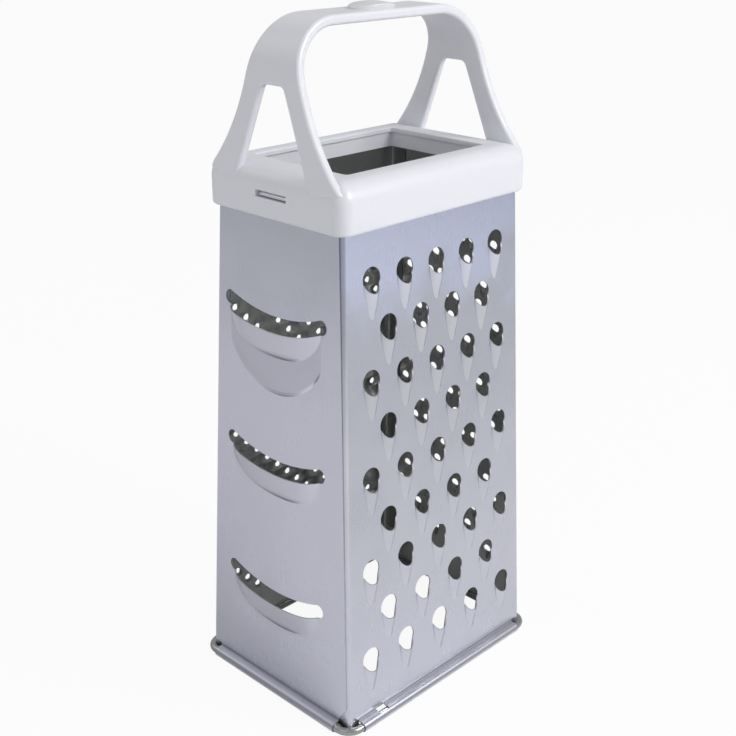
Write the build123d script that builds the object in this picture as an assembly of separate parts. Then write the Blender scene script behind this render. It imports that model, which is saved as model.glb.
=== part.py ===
from build123d import *
import math
import os

# A four-sided box grater: four steel panels that lean inwards, a wire ring rolled into the
# hems at the foot, and a moulded collar with its handle on top.
# Millimetres. Origin: centre of the base at the surface it stands on. +Z up, X along the
# wide panels. Coarse teeth face -Y, the slicing slots -X, fine holes +Y, small teeth +X.

# Steel body, outer sizes
base_length = 95.6
base_width = 74.1
top_length = 84.4
top_width = 57.7
steel_top = 188.0
sheet = 0.4
bend_radius = 2.0
flange_length = 7.0
seam_gap = 0.02

# Wire ring and rolled hem
wire_diameter = 2.8
wire_sides = 12
wire_corner_radius = 3.8
wire_gap = 0.05
hem_flat = 0.12
hem_reach = 1.6
hem_bend_radius = 0.5
hem_wrap = 250.0
hem_setback = 5.0
notch_height = 1.8
tongue_width = 6.4
tongue_tip_width = 3.2
tongue_foot = 1.7
drain_length = 5.4
drain_from_corner = 15.0

# Coarse teeth
coarse_rows = 9
coarse_per_row = 5
coarse_row_pitch = 16.9
coarse_first_row = 156.9
coarse_pitch_top = 15.2
coarse_pitch_foot = 17.95
coarse_radius = 3.9
coarse_centre_up = 0.5
coarse_sides = 14
hood_sides = 12
hood_rise = 2.8
hood_length = 13.5
hood_width_share = 0.97

# Slicing slots
slot_count = 3
slot_pitch = 51.5
slot_first = 37.4
slot_offset = -1.2
slot_half_length = 22.0
slot_edge_radius = 60.0
slot_gap = 4.5
lip_radius = 70.0
blade_height = 9.1
blade_end_share = 0.25
blade_raise = 2.2
blade_steps = 12
boss_radius = 25.0
boss_raise = 1.2

# Fine holes
fine_pitch = 10.15
fine_row_pitch = 4.93
fine_rows = 31
fine_first_row = 16.0
fine_per_row = 8
fine_radius = 1.35
fine_sides = 4

# Small teeth
small_rows = 17
small_row_pitch = 7.9
small_first_row = 24.6
small_per_row = 9
small_pitch_foot = 6.8
small_pitch_top = 4.95
small_radius = 1.7
small_sides = 5

# Collar
collar_length = 90.0
collar_width = 64.0
collar_low = 176.5
collar_top = 192.6
collar_plan_radius = 5.0
collar_edge_radius = 6.5
collar_foot_radius = 1.2
skirt_wall = 2.3
web_wall = 2.4
channel_width = 1.9
seat_gap = 0.2
mouth_length = 65.5
mouth_width = 43.0
mouth_radius = 1.2
lip_height = 1.65
lip_step = 0.6
inner_wall = 1.8
inner_wall_depth = 7.0
rib_wall = 1.4
rib_depth = 6.0
rib_spread = 24.0
rib_gap = 0.15

# Snap windows in the collar's ends and the steel tabs that sit in them
window_length = 14.4
window_height = 2.3
window_centre = 184.2
tab_gap = 0.4
tab_reach = 1.4

# Handle
handle_top = 238.0
handle_wall = 3.2
handle_lean = 1.5
handle_shoulder = 18.9
handle_foot = 184.0
handle_edge = 0.8
foot_half_width = 31.0
foot_height = 188.5
neck_half_width = 11.2
neck_height = 225.0
grip_half_width = 8.4
opening_top = 218.0
opening_top_half = 5.0
opening_foot_half = 16.6
opening_foot = 189.0
opening_radius = 2.6

# Oval cap on the grip
cap_half_length = 9.2
cap_half_width = 5.7
cap_rise = 2.1
cap_rim = 0.5
cap_sink = 1.0
cap_gap = 0.1

overrun = 5.0

# Places that follow from the sizes above
curl_radius = wire_diameter / 2 + wire_gap + sheet
curl_height = curl_radius - hem_flat
ledge = curl_height + curl_radius
lean_x = (base_length - top_length) / 2 / (steel_top - ledge)
lean_y = (base_width - top_width) / 2 / (steel_top - ledge)


def half_length(z):
    """Half of the steel's outer length at height z."""
    return base_length / 2 - (z - ledge) * lean_x


def half_width(z):
    """Half of the steel's outer width at height z."""
    return base_width / 2 - (z - ledge) * lean_y


def wide_plane():
    """The outer face of the -Y panel: x along the ledge, y up the slope, z out of the steel."""
    return Plane(origin=(0, -base_width / 2, ledge), x_dir=(1, 0, 0), z_dir=(0, -1, lean_y))


def narrow_plane():
    """The outer face of the -X panel, read from outside in the same way."""
    return Plane(origin=(-base_length / 2, 0, ledge), x_dir=(0, -1, 0), z_dir=(-1, 0, lean_x))


def turned(shape):
    """The same shape on the opposite side of the grater."""
    return shape.rotate(Axis.Z, 180)


def column(length, width, radius, low, high):
    """An upright block with rounded plan corners."""
    plan = Plane.XY.offset(low) * RectangleRounded(length, width, radius)
    return extrude(plan, amount=high - low)


def frustum(inset_x, inset_y, radius, low, high):
    """The steel body's solid form, moved in by the insets."""
    plans = []
    for z in (low, high):
        plan = RectangleRounded(2 * (half_length(z) - inset_x), 2 * (half_width(z) - inset_y), radius)
        plans.append(Plane.XY.offset(z) * plan)
    return loft(plans, ruled=True)


def hem_strip(length):
    """Rolled hem for one side, drawn beside a wall at x = 0 and running along Y.

    The wall turns outwards (+X) with a small bend, crosses the ledge and goes round the wire.
    """
    outer = curl_radius
    inner = curl_radius - sheet
    turn = math.radians(90 - hem_wrap)
    centre = (hem_reach, curl_height)
    bend_top = ledge + hem_bend_radius

    def on_curl(radius, angle):
        return (centre[0] + radius * math.cos(angle), centre[1] + radius * math.sin(angle))

    middle = math.radians(90 - hem_wrap / 2)
    small = hem_bend_radius
    large = hem_bend_radius + sheet
    corner = (hem_bend_radius, bend_top)
    half = math.radians(225)
    edges = [
        Line((-sheet, bend_top + overrun), (0, bend_top + overrun)),
        Line((0, bend_top + overrun), (0, bend_top)),
        ThreePointArc(
            (0, bend_top),
            (corner[0] + small * math.cos(half), corner[1] + small * math.sin(half)),
            (corner[0], ledge),
        ),
        Line((corner[0], ledge), on_curl(outer, math.radians(90))),
        ThreePointArc(on_curl(outer, math.radians(90)), on_curl(outer, middle), on_curl(outer, turn)),
        Line(on_curl(outer, turn), on_curl(inner, turn)),
        ThreePointArc(on_curl(inner, turn), on_curl(inner, middle), on_curl(inner, math.radians(90))),
        Line(on_curl(inner, math.radians(90)), (corner[0], ledge - sheet)),
        ThreePointArc(
            (corner[0], ledge - sheet),
            (corner[0] + large * math.cos(half), corner[1] + large * math.sin(half)),
            (-sheet, bend_top),
        ),
        Line((-sheet, bend_top), (-sheet, bend_top + overrun)),
    ]
    section = Plane.XZ * make_face(Wire(edges))
    strip = extrude(section, amount=length / 2, both=True)
    under = Pos(0, 0, -overrun / 2) * Box(4 * overrun, length + overrun, overrun)
    over = Pos(0, 0, bend_top + overrun) * Box(4 * overrun, length + overrun, 2 * overrun)
    return strip - under - over


def wide_hem():
    strip = hem_strip(base_length - 2 * hem_setback).rotate(Axis.Z, -90)
    return Pos(0, -base_width / 2, 0) * strip


def narrow_hem():
    strip = hem_strip(base_width - 2 * hem_setback).rotate(Axis.Z, 180)
    return Pos(-base_length / 2, 0, 0) * strip


def corner_tongue(side):
    """The point of steel that runs down each bent corner between the two relief notches."""
    low = tongue_foot
    high = ledge + notch_height
    outer = frustum(sheet + seam_gap, 0, bend_radius, low, high)
    inner = frustum(2 * sheet + seam_gap, sheet, bend_radius - sheet, low - overrun, high + overrun)
    reach, tip = tongue_width / 2, tongue_tip_width / 2
    point = Polygon((-reach, high), (reach, high), (tip, low), (-tip, low), align=None)
    spot = Plane(
        origin=(side * base_length / 2, -base_width / 2, 0),
        x_dir=(1, side, 0),
        z_dir=(side, -1, 0),
    )
    wedge = extrude(spot * point, amount=2 * overrun, both=True)
    return (outer - inner) & wedge


def wide_blank(high=steel_top):
    """A wide panel before its holes: a plate, two flanges bent round the corners, and the hem."""
    low = ledge + hem_bend_radius
    outer = frustum(sheet + seam_gap, 0, bend_radius, low, high)
    inner = frustum(2 * sheet + seam_gap, sheet, bend_radius - sheet, low - overrun, high + overrun)
    behind = wide_plane() * Pos(0, high / 2, -flange_length - base_width)
    blank = outer - inner - behind * Box(2 * base_length, 2 * high, 2 * base_width)
    notch_top = ledge + notch_height
    for side in (-1, 1):
        notch = Pos(side * base_length / 2, -base_width / 2, notch_top - overrun / 2)
        blank -= notch * Box(2 * hem_setback, 4 * base_width, overrun)
    blank += wide_hem()
    for side in (-1, 1):
        blank += corner_tongue(side)
    return blank


def narrow_blank():
    """A narrow panel before its slots or holes: a flat plate over the flanges, and the hem."""
    low = ledge + hem_bend_radius
    slope = math.hypot(1, lean_x)
    points = []
    for z, sign in ((low, -1), (low, 1), (steel_top, 1), (steel_top, -1)):
        points.append((sign * (half_width(z) - bend_radius), (z - ledge) * slope))
    plate = extrude(narrow_plane() * Polygon(*points, align=None), amount=-sheet)
    notch_top = ledge + notch_height
    for side in (-1, 1):
        notch = Pos(-base_length / 2, side * base_width / 2, notch_top - overrun / 2)
        plate -= notch * Box(overrun, 2 * hem_setback, overrun)
    return plate + narrow_hem()


def coarse_places():
    """Tooth centres on the coarse panel: rows of five and four, closer together near the top."""
    places = []
    for row in range(coarse_rows):
        height = coarse_first_row - row * coarse_row_pitch
        share = row / (coarse_rows - 1)
        pitch = coarse_pitch_top + (coarse_pitch_foot - coarse_pitch_top) * share
        count = coarse_per_row - row % 2
        for place in range(count):
            places.append(((place - (count - 1) / 2) * pitch, height))
    return places


def tooth_cone(skin, low):
    """A tilted cone that pushes out of the plate and leaves the bullet-shaped hood of a tooth.

    Its lowest line runs level behind the plate and its highest climbs out of the plate at the
    hood's point, so the plate's surface cuts it along a parabola nearly as wide as the hole.
    """
    climb = math.atan2(hood_rise, hood_length)
    depth = (hood_width_share * coarse_radius) ** 2 / hood_rise
    run = hood_length + depth / math.tan(climb)
    shift = skin / math.sin(climb / 2)
    axis = Vector(0, math.cos(climb / 2), math.sin(climb / 2))
    height = run + hood_length
    tip = Vector(0, -run, -depth) + axis * shift
    end = Plane(origin=tip + axis * height, x_dir=(1, 0, 0), z_dir=axis)
    cone = loft([end * RegularPolygon(height * math.tan(climb / 2), hood_sides), Vertex(*tip)], ruled=True)
    room = Box(4 * coarse_radius, 2 * hood_length, 2 * hood_rise, align=(Align.CENTER, Align.MAX, Align.MIN))
    return cone & (Pos(0, 0, low) * room)


def coarse_panel():
    """The coarse face: round holes, each with a hood below it whose raised lip faces up."""
    plane = wide_plane()
    hood = tooth_cone(0, -sheet / 2)
    hollow = tooth_cone(sheet, -2 * sheet)
    mouth = extrude(RegularPolygon(coarse_radius, coarse_sides), amount=overrun, both=True)
    hoods, cuts = [], []
    for across, up in coarse_places():
        spot = plane * Pos(across, up + coarse_centre_up, 0)
        hoods.append(spot * hood)
        cuts.append(spot * hollow)
        cuts.append(spot * mouth)
    panel = wide_blank() + hoods
    panel = panel - cuts
    drain = Pos(-base_length / 2 + drain_from_corner, -base_width / 2 - hem_reach / 2, ledge)
    return panel - drain * Box(drain_length, hem_reach, 2 * hem_bend_radius)


def fine_panel():
    """The fine face: staggered rows of small four-cornered holes."""
    plane = wide_plane()
    hole = extrude(RegularPolygon(fine_radius, fine_sides), amount=overrun, both=True)
    cuts = []
    for row in range(fine_rows):
        count = fine_per_row - row % 2
        for place in range(count):
            across = (place - (count - 1) / 2) * fine_pitch
            cuts.append(plane * Pos(across, fine_first_row + row * fine_row_pitch, 0) * hole)
    return turned(wide_blank() - cuts)


def small_tooth_panel():
    """The narrow face with small teeth: staggered rows of holes that come to a point below."""
    plane = narrow_plane()
    hole = extrude(RegularPolygon(small_radius, small_sides, rotation=-90), amount=overrun, both=True)
    cuts = []
    for row in range(small_rows):
        share = row / (small_rows - 1)
        pitch = small_pitch_foot + (small_pitch_top - small_pitch_foot) * share
        count = small_per_row - row % 2
        for place in range(count):
            across = (place - (count - 1) / 2) * pitch
            cuts.append(plane * Pos(across, small_first_row + row * small_row_pitch, 0) * hole)
    return turned(lance_tab(narrow_blank() - cuts))


def arc_height(radius, across):
    """How far an upward-curving arc has risen at a distance from its lowest point."""
    return radius - math.sqrt(radius**2 - across**2)


def slot_spines(boss, overlap):
    """Lines up the slope at places across a slot, from the plate to the blade's raised lip.

    The blade leaves the plate along a crease that bends up at both ends. At the highest slot
    a round boss lifts the crease itself, so there the line starts lower, at the boss's foot.
    """
    spines = []
    lift = boss_raise if boss else 0
    for step in range(blade_steps + 1):
        share = math.sin(math.pi / 2 * (2 * step / blade_steps - 1))
        fade = 1 - share**10
        across = share * (slot_half_length + overlap)
        lip_up = arc_height(lip_radius, across) - slot_gap
        depth = blade_height * (blade_end_share + (1 - blade_end_share) * math.sqrt(1 - share**4))
        crease_up = lip_up - depth - overlap
        spine = [(across, crease_up, lift * fade), (across, lip_up, (lift + blade_raise) * fade)]
        if boss:
            foot_up = -slot_gap / 2 - overlap - math.sqrt(boss_radius**2 - across**2)
            spine.insert(0, (across, foot_up, 0))
        spines.append(spine)
    return spines


def blade(boss):
    """The raised blade under a slot, lofted through thin upright sections."""
    sections = []
    for spine in slot_spines(boss, sheet):
        outside = [Vector(x, y, z) for x, y, z in spine]
        inside = [Vector(x, y, z - sheet) for x, y, z in reversed(spine)]
        sections.append(make_face(Wire.make_polygon(outside + inside)))
    return loft(sections, ruled=True)


def slot_cut(boss):
    """What is cut out of the plate at one slot: the gap and the footprint of its raised blade."""
    half = slot_half_length
    high = arc_height(slot_edge_radius, half)
    low = arc_height(lip_radius, half) - slot_gap
    middle = (high + low) / 2
    bulge = half + (high - low) / 2
    starts = [(spine[0][0], spine[0][1]) for spine in slot_spines(boss, 0)]
    edges = [
        ThreePointArc((-half, high), (0, 0), (half, high)),
        ThreePointArc((half, high), (bulge, middle), (half, low)),
        Line((half, low), starts[-1]),
        Line(starts[0], (-half, low)),
        ThreePointArc((-half, low), (-bulge, middle), (-half, high)),
    ]
    edges += [Line(first, second) for first, second in zip(starts, starts[1:])]
    return extrude(make_face(Wire(edges)), amount=overrun, both=True)


def lance_tab(panel):
    """Cut a slot near the top of a narrow panel and lean its strip out to a free lower edge."""
    high = window_centre + window_height / 2 - tab_gap
    low = window_centre - window_height / 2 + tab_gap
    half = window_length / 2 - tab_gap
    wall = half_length(high)
    tip = half_length(low) + tab_reach
    profile = Polygon((-wall, high), (-tip, low), (-tip + sheet, low), (-wall + sheet, high), align=None)
    tab = extrude(Plane.XZ * profile, amount=half, both=True)
    cut_high = high - sheet / 2
    cut = Pos(-wall, 0, (low + cut_high) / 2) * Box(overrun, 2 * half + tab_gap, cut_high - low)
    return panel - cut + tab


def slicer_panel():
    """The slicing face: three smile-shaped slots, each with a raised blade below it."""
    plane = narrow_plane()
    panel = narrow_blank()
    for index in range(slot_count):
        spot = plane * Pos(slot_offset, slot_first + index * slot_pitch, 0)
        boss = index == slot_count - 1
        panel -= spot * slot_cut(boss)
        panel += spot * blade(boss)
    return lance_tab(panel)


def base_wire():
    """The closed wire ring that stiffens the foot, its round section cut to flats."""
    length = base_length + 2 * hem_reach
    width = base_width + 2 * hem_reach
    path = Plane.XY.offset(curl_height) * RectangleRounded(length, width, wire_corner_radius)
    start = Plane(origin=(0, -width / 2, curl_height), x_dir=(0, 1, 0), z_dir=(1, 0, 0))
    return sweep(start * RegularPolygon(wire_diameter / 2, wire_sides), path=path.wire())


def handle_band():
    """The handle's strap: an arch seen from the front, cut to its bell shape seen from the side."""
    foot_x = collar_length / 2
    spring = handle_top - handle_shoulder
    side_x = foot_x - handle_lean

    def arch(inset):
        x = side_x - inset
        radius = handle_shoulder - inset
        top = handle_top - inset
        bend = radius * (1 - math.cos(math.radians(45)))
        edges = [Line((-foot_x + inset, handle_foot), (-x, spring))]
        edges.append(ThreePointArc((-x, spring), (-x + bend, top - bend), (-x + radius, top)))
        edges.append(Line((-x + radius, top), (x - radius, top)))
        edges.append(ThreePointArc((x - radius, top), (x - bend, top - bend), (x, spring)))
        edges.append(Line((x, spring), (foot_x - inset, handle_foot)))
        edges.append(Line((foot_x - inset, handle_foot), (-foot_x + inset, handle_foot)))
        return make_face(Wire(edges))

    face = Plane.XZ * (arch(0) - arch(handle_wall))
    band = extrude(face, amount=collar_width, both=True)
    lean = (neck_half_width - grip_half_width) / (handle_top - neck_height)
    over = handle_top + overrun
    over_half = grip_half_width - lean * overrun
    neck = (neck_half_width, neck_height)
    foot = (foot_half_width, foot_height)
    right = [
        Line((foot_half_width, handle_foot), foot),
        TangentArc(neck, foot, tangent=(lean, -1)),
        Line(neck, (over_half, over)),
    ]
    left = [edge.mirror(Plane.YZ) for edge in right]
    ends = [
        Line((-over_half, over), (over_half, over)),
        Line((-foot_half_width, handle_foot), (foot_half_width, handle_foot)),
    ]
    bell = extrude(Plane.YZ * make_face(Wire(right + left + ends)), amount=collar_length, both=True)
    plan = column(collar_length, collar_width, collar_plan_radius, handle_foot, over)
    return band & bell & plan


def leg_openings():
    """The rounded triangles through both legs."""
    outline = Polygon(
        (-opening_top_half, opening_top),
        (opening_top_half, opening_top),
        (opening_foot_half, opening_foot),
        (-opening_foot_half, opening_foot),
        align=None,
    )
    top_corners = outline.vertices().sort_by(Axis.Y)[-2:]
    outline = fillet(top_corners, opening_radius)
    return extrude(Plane.YZ * outline, amount=collar_length, both=True)


def handle():
    """Legs and grip with softened edges."""
    blank = handle_band() - leg_openings()
    rims = []
    for edge in blank.edges():
        across = edge.geom_type == GeomType.LINE and edge.length < 2 * handle_wall
        seam = abs(edge.tangent_at(0).Y) > math.cos(math.radians(1)) and edge.center().Z > opening_top
        if edge.center().Z > collar_top and not across and not seam:
            rims.append(edge)
    return chamfer(rims, handle_edge)


def handle_collar():
    """Collar and handle in one moulding: skirt, web, inner wall, ribs, legs and grip."""
    block = column(collar_length, collar_width, collar_plan_radius, collar_low, collar_top)
    block = fillet(block.edges().group_by(Axis.Z)[-1], collar_edge_radius)
    block = fillet(block.edges().group_by(Axis.Z)[0], collar_foot_radius)
    moulding = block + handle()

    mouth = column(mouth_length, mouth_width, mouth_radius, collar_low - overrun, collar_top + overrun)
    step_length = mouth_length + 2 * lip_step
    step_width = mouth_width + 2 * lip_step
    step = column(step_length, step_width, mouth_radius, collar_low - overrun, collar_top - lip_height)
    wall_length = step_length + 2 * inner_wall
    wall_width = step_width + 2 * inner_wall
    ring = column(wall_length, wall_width, mouth_radius + inner_wall, collar_low - overrun, collar_top)
    wall_low = collar_top - inner_wall_depth

    channel_length = collar_length - 2 * skirt_wall
    channel_wide = collar_width - 2 * skirt_wall
    inner_radius = collar_plan_radius - skirt_wall
    channel = column(channel_length, channel_wide, inner_radius, collar_low - overrun, steel_top + seat_gap)
    hollow = column(
        channel_length - 2 * channel_width,
        channel_wide - 2 * channel_width,
        inner_radius,
        collar_low - overrun,
        collar_top - web_wall,
    )
    below_length, below_width = wall_length + overrun, wall_width + overrun
    below = column(below_length, below_width, mouth_radius, collar_low - overrun, wall_low)
    moulding = moulding - (channel + hollow - (ring - below)) - mouth - step
    for rib in ribs(wall_length, wall_width):
        moulding += rib
    window = Box(2 * collar_length, window_length, window_height)
    moulding -= Pos(0, 0, window_centre) * window
    recess = Pos(0, 0, handle_top) * extrude(
        Ellipse(cap_half_length - cap_rim + cap_gap, cap_half_width - cap_rim + cap_gap),
        amount=cap_sink + cap_gap,
        both=True,
    )
    return moulding - recess


def ribs(wall_length, wall_width):
    """Upright ribs under the web that hold the steel's inner face."""
    low = collar_top - web_wall - rib_depth
    high = collar_top - web_wall / 2
    middle = (low + high) / 2
    inside_x = half_length(steel_top) - 2 * sheet - rib_gap
    inside_y = half_width(steel_top) - sheet - rib_gap
    run_y = inside_y - wall_width / 2 + inner_wall / 2
    run_x = inside_x - wall_length / 2 + inner_wall / 2
    pieces = []
    for side in (-1, 1):
        for across in (-rib_spread, 0, rib_spread):
            spot = Pos(across, side * (inside_y - run_y / 2), middle)
            pieces.append(spot * Box(rib_wall, run_y, high - low))
        for across in (-rib_spread / 2, rib_spread / 2):
            spot = Pos(side * (inside_x - run_x / 2), across, middle)
            pieces.append(spot * Box(run_x, rib_wall, high - low))
    return pieces


def handle_cap():
    """The oval cap: a ball's crown over a low rim, with a plug sunk into the grip."""
    crown = cap_rise - cap_rim
    ball_radius = (cap_half_length**2 + crown**2) / (2 * crown)
    ball = Pos(0, 0, handle_top + cap_rise - ball_radius) * Sphere(ball_radius)
    head = extrude(Ellipse(cap_half_length, cap_half_width), amount=cap_rise)
    plug = extrude(Ellipse(cap_half_length - cap_rim, cap_half_width - cap_rim), amount=-cap_sink)
    seat = Pos(0, 0, handle_top)
    return (seat * head & ball) + seat * plug


parts = {
    "coarse_panel": coarse_panel,
    "fine_panel": fine_panel,
    "slicer_panel": slicer_panel,
    "small_tooth_panel": small_tooth_panel,
    "base_wire": base_wire,
    "handle_collar": handle_collar,
    "handle_cap": handle_cap,
}

os.makedirs("parts", exist_ok=True)
for name, make in parts.items():
    piece = make()
    export_step(piece, os.path.join("parts", name + ".step"))
    print(name, "solids", len(piece.solids()), "volume", round(piece.volume, 1))
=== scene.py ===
"""Box grater, dressed for rendering: four stamped steel walls, wired foot, moulded collar and handle.

Metres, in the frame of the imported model. Coarse teeth face -Y, the slicing slots -X.
"""
import math
from dataclasses import dataclass

import bmesh
import bpy
import numpy as np
from bpy.props import FloatProperty, FloatVectorProperty, PointerProperty
from mathutils import Matrix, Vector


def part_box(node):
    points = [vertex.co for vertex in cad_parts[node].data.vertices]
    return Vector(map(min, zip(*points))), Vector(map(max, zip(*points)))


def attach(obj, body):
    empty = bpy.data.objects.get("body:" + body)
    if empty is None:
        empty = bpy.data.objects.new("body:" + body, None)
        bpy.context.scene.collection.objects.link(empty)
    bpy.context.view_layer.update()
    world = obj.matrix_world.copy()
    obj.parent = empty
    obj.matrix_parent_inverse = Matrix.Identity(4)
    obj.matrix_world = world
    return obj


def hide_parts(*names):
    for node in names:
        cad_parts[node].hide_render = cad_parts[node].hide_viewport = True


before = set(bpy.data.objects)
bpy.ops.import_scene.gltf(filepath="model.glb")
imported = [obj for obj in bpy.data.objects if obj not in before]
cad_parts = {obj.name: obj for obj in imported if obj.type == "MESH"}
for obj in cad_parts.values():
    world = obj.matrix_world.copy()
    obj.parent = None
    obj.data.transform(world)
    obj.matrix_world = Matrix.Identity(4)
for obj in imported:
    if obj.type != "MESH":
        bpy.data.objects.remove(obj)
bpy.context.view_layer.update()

bl_info = {
    "name": "Box grater dressing",
    "version": (1, 0, 0),
    "blender": (4, 5, 0),
    "location": "3D View > Sidebar > Grater",
    "description": "Builds the walls, foot, collar, handle and stage of a box grater",
    "category": "Add Mesh",
}

STEEL_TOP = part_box("coarse_panel")[1][2]
HANDLE_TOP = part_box("handle_collar")[1][2]
CAP_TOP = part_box("handle_cap")[1][2]

# Rows of teeth and holes, as Lattice takes them.
COARSE_ROWS = dict(
    rows=9, per_row=5, first=0.0217, row_pitch=0.0169, low_pitch=0.01795, high_pitch=0.0152, below=0.0125,
    steps=12, wave=0.0018,
)
FINE_ROWS = dict(
    rows=31, per_row=8, first=0.016, row_pitch=0.00493, low_pitch=0.01015, high_pitch=0.01015,
    below=0.00493 / 2, steps=4,
)
SMALL_ROWS = dict(
    rows=17, per_row=9, first=0.0246, row_pitch=0.0079, low_pitch=0.0068, high_pitch=0.00495, below=0.0055,
    steps=4,
)

# Slicing slots on their wall.
SLOT_COUNT = 3
SLOT_FIRST = 0.0374
SLOT_PITCH = 0.0515
SLOT_BELOW = 0.0310  # from a slot's middle down to its cell's border
SLOT_SHIFT = -0.0012
SLOT_STEPS = 40

# Drain slot through the coarse wall's hem.
DRAIN_ENDS = (-0.0343, -0.0299)
DRAIN_REACH = 0.0026
DRAIN_HEIGHTS = (-0.0004, 0.0006)  # about the ledge

FULLNESS = 0.15  # how much fuller a hood is than its cone
FOOT_SHARES = np.linspace(0, 1, 5)[:, None] ** 2  # rows from the notch's height to the lowest teeth

# Painted light and shade on the steel: above 0 a painted highlight, lighter and tinted, below 0 painted shade,
# darker.
HOOD_PAINTED_LIGHT = (0.15, 1.0)
HOOD_EDGE_PAINTED_SHADE = -1.6
FOOT_PAINTED_SHADE = -1.6
FLANGE_PAINTED_SHADE = -1.6
NOTCH_PAINTED_SHADE = -2.6
CREASE_PAINTED_SHADE = -2.6
BLADE_PAINTED_LIGHT = 0.4
BOSS_PAINTED_SHADE = -0.5
TAB_PAINTED_HIGHLIGHT = 1.5
GLARE_TONE = 6.0
BEND_HEIGHTS = (0.01, 0.04, 0.10, 0.13, 0.15, 0.175)
BEND_PAINTED_LIGHT = (0.0, 0.3, 0.95, 0.5, -0.2, -0.9)
HEM_ROWS = (0, 4, 6, 9, 12, 14, 16)
HEM_PAINTED_LIGHT = (-1.8, -2.2, -0.8, -0.9, -1.7, -1.6, 0.6)

METAL = {"Metallic": 1.0}
PLASTIC = {
    "Subsurface Weight": 0.15, "Subsurface Radius": 3 * (0.003,), "Coat Weight": 0.15, "Coat Roughness": 0.12,
}
STEEL_ROUGHNESS = {"wide": 0.27, "narrow": 0.27, "inside": 0.24, "edge": 0.5, "side": 0.3}

MIRROR = np.array([-1.0, 1.0, 1.0])  # turns left and right over
SHARP_ANGLE = math.radians(32)

# Lamps: place, share of the main lamp's power, and side.
LAMPS = {
    "key": ((0.35, -0.85, 0.8), 1.0, 0.5),
    "fill": ((-1.1, -0.2, 0.9), 0.15, 0.9),
    "back": ((-0.5, 0.95, 1.0), 0.13, 0.6),
}
FLOOR_GLOW = 0.93  # share of plain white in what the camera sees of the floor


def length(name, default, description):
    """A length property in metres."""
    return FloatProperty(name=name, description=description, default=default, subtype="DISTANCE", unit="LENGTH")


def number(name, default, description):
    """A plain number property."""
    return FloatProperty(name=name, description=description, default=default)


def colour(name, default, description):
    """A colour property."""
    return FloatVectorProperty(
        name=name, description=description, default=default, size=3, min=0.0, max=1.0, subtype="COLOR"
    )


class BodySizes(bpy.types.PropertyGroup):
    """Sizes of the steel body and its foot."""

    base_length: length("Base length", 0.0956, "Outer length of the steel at the ledge")
    base_width: length("Base width", 0.0741, "Outer width of the steel at the ledge")
    top_length: length("Top length", 0.0844, "Outer length of the steel at its top edge")
    top_width: length("Top width", 0.0577, "Outer width of the steel at its top edge")
    steel_top: length("Steel top", STEEL_TOP, "Height of the steel's top edge")
    sheet: length("Sheet", 0.0004, "Thickness of the steel")
    bend: length("Bend radius", 0.0013, "Outer radius of the upright corners")
    flange: length("Flange", 0.005, "Length of the flange behind each corner")
    wire: length("Wire", 0.0028, "Diameter of the wire in the hem")
    wire_corner: length("Wire corner", 0.0054, "Radius of the wire's corners at its centre line")
    wire_gap: length("Wire gap", 0.00005, "Gap between the wire and its hem")
    hem_flat: length("Hem flat", 0.00012, "How far the hem is pressed flat underneath")
    hem_reach: length("Hem reach", 0.0016, "From the wall to the middle of the wire")
    hem_bend: length("Hem bend", 0.0005, "Radius of the bend from wall to ledge")
    hem_setback: length("Hem setback", 0.005, "From the steel's corner to the hem's end")
    tongue_tip: length("Tongue tip", 0.0017, "Height of the pointed tongue's tip at each corner")
    notch: length("Notch", 0.0008, "Height of the relief notch above the ledge")


class ToothSizes(bpy.types.PropertyGroup):
    """Sizes of the teeth, holes and slots."""

    coarse_radius: length("Coarse hole", 0.0039, "Radius of a coarse hole")
    coarse_drop: length("Coarse drop", 0.0046, "From a coarse hole's middle down to the hood's lip")
    coarse_rise: length("Coarse rise", 0.0028, "Height of a coarse hood across its hole")
    coarse_run: length("Coarse run", 0.0135, "From a coarse hole's middle down to its hood's point")
    small_radius: length("Small hole", 0.0017, "Radius of a small tooth's hole")
    small_rise: length("Small rise", 0.0012, "Height of a small hood across its hole")
    small_run: length("Small run", 0.0052, "From a small hole's middle down to its hood's point")
    fine_radius: length("Fine hole", 0.00135, "Radius of a fine hole")
    fine_rise: length("Fine rise", 0.0006, "Height of a fine hole's torn rim")
    slot_half: length("Slot half length", 0.022, "Half of a slot's length between its rounded ends")
    slot_gap: length("Slot gap", 0.0045, "Height of a slot in the wall's plane")
    slot_radius: length("Slot radius", 0.060, "Radius of a slot's upper edge")
    lip_radius: length("Lip radius", 0.070, "Radius of a slot's cutting lip")
    blade_height: length("Blade height", 0.0091, "From a slot's lip down to the crease")
    blade_rise: length("Blade rise", 0.0022, "How far a lip stands out of the wall")
    boss_radius: length("Boss radius", 0.025, "Radius of the round boss under the highest slot")
    boss_rise: length("Boss rise", 0.0012, "How far that boss stands out of the wall")


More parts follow.
